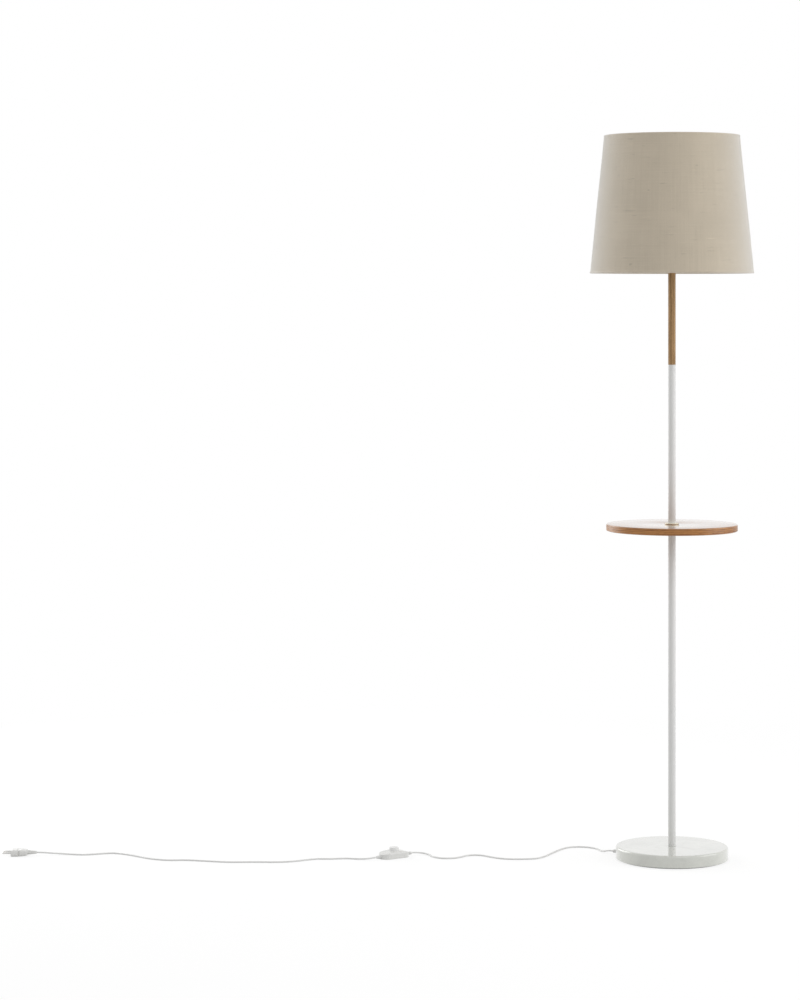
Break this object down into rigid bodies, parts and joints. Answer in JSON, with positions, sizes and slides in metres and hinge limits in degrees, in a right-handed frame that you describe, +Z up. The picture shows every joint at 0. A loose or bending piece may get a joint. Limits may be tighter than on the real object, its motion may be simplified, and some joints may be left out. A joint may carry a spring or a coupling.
{
  "type": "floor lamp with table",
  "caption": "Floor lamp on a round stone base, with a round wooden table on its pole, a tapered linen shade and a foot switch on its lead.",
  "frame": {"origin": "centre of the underside of the base, on the floor", "axes": "+Z up along the pole; -Y to the front; the lead leaves towards -X"},
  "size_m": [1.61, 0.35, 1.546],
  "materials": {
    "stone": "polished white stone with faint grey mottling",
    "felt": "pressed felt",
    "zinc_steel": "zinc plated",
    "washer_steel": "dull grey steel",
    "white_lacquer": "satin white powder coat",
    "table_wood": "stained oak, clear gloss lacquer",
    "pole_wood": "satin lacquered, straight grain",
    "white_pvc": "white soft plastic",
    "holder_plastic": "white moulded plastic",
    "holder_ceramic": "off-white ceramic",
    "contact_brass": "bright brass",
    "core_copper": "copper strands",
    "bulb_metal": "plain",
    "bulb_plastic": "white",
    "bulb_opal": "opal diffuser",
    "shade_linen": "beige linen, plain weave with slubs",
    "shade_lining": "off-white laminated film",
    "hem_linen": "the same linen, rolled over the wire",
    "frame_wire": "white lacquered wire",
    "switch_plastic": "white moulded plastic",
    "button_plastic": "white moulded plastic",
    "pin_nickel": "nickel plated brass"
  },
  "bodies": {
    "lamp": {"base_slab": "stone", "base_pad": "felt", "base_washer": "zinc_steel", "base_nut": "zinc_steel", "base_rod": "zinc_steel", "strain_relief": "white_pvc", "lower_tube": "white_lacquer", "tube_inserts": "zinc_steel", "table_washer_lower": "washer_steel", "tabletop": "table_wood", "table_washer_upper": "washer_steel", "table_rod": "zinc_steel", "upper_tube": "white_lacquer", "joint_rod": "zinc_steel", "wood_pole": "pole_wood", "holder_rod": "zinc_steel", "holder_washer": "zinc_steel", "inner_lead": "white_pvc", "holder_cap": "holder_plastic", "holder_skirt": "holder_plastic", "contact_block": "holder_ceramic", "centre_contact": "contact_brass", "screw_shell": "contact_brass", "ring_nut": "holder_plastic", "bulb_cap": "bulb_metal", "bulb_body": "bulb_plastic", "bulb_diffuser": "bulb_opal", "shade_cover": "shade_linen", "shade_lining": "shade_lining", "shade_top_ring": "frame_wire", "shade_bottom_ring": "frame_wire", "shade_spider": "frame_wire", "shade_top_hem": "hem_linen", "shade_bottom_hem": "hem_linen", "lead_to_switch": "white_pvc", "switch_lower_shell": "switch_plastic", "switch_upper_shell": "switch_plastic", "switch_sleeves": "white_pvc", "switch_spring": "zinc_steel", "switch_carrier": "holder_ceramic", "switch_terminals": "contact_brass", "switch_cores": "core_copper", "switch_screws": "zinc_steel", "lead_to_plug": "white_pvc", "plug_relief": "white_pvc", "plug_body": "white_pvc", "plug_pins": "pin_nickel", "plug_pin_sleeves": "white_pvc"},
    "button": {"switch_button": "button_plastic"}
  },
  "joints": [
    {"name": "button_press", "type": "slide", "parent": "lamp", "child": "button", "axis": [0, 0, -1], "range_m": [0, 0.003], "stiffness_N_per_m": 900, "springref_m": -0.004, "deforming": ["switch_spring"]}
  ]
}
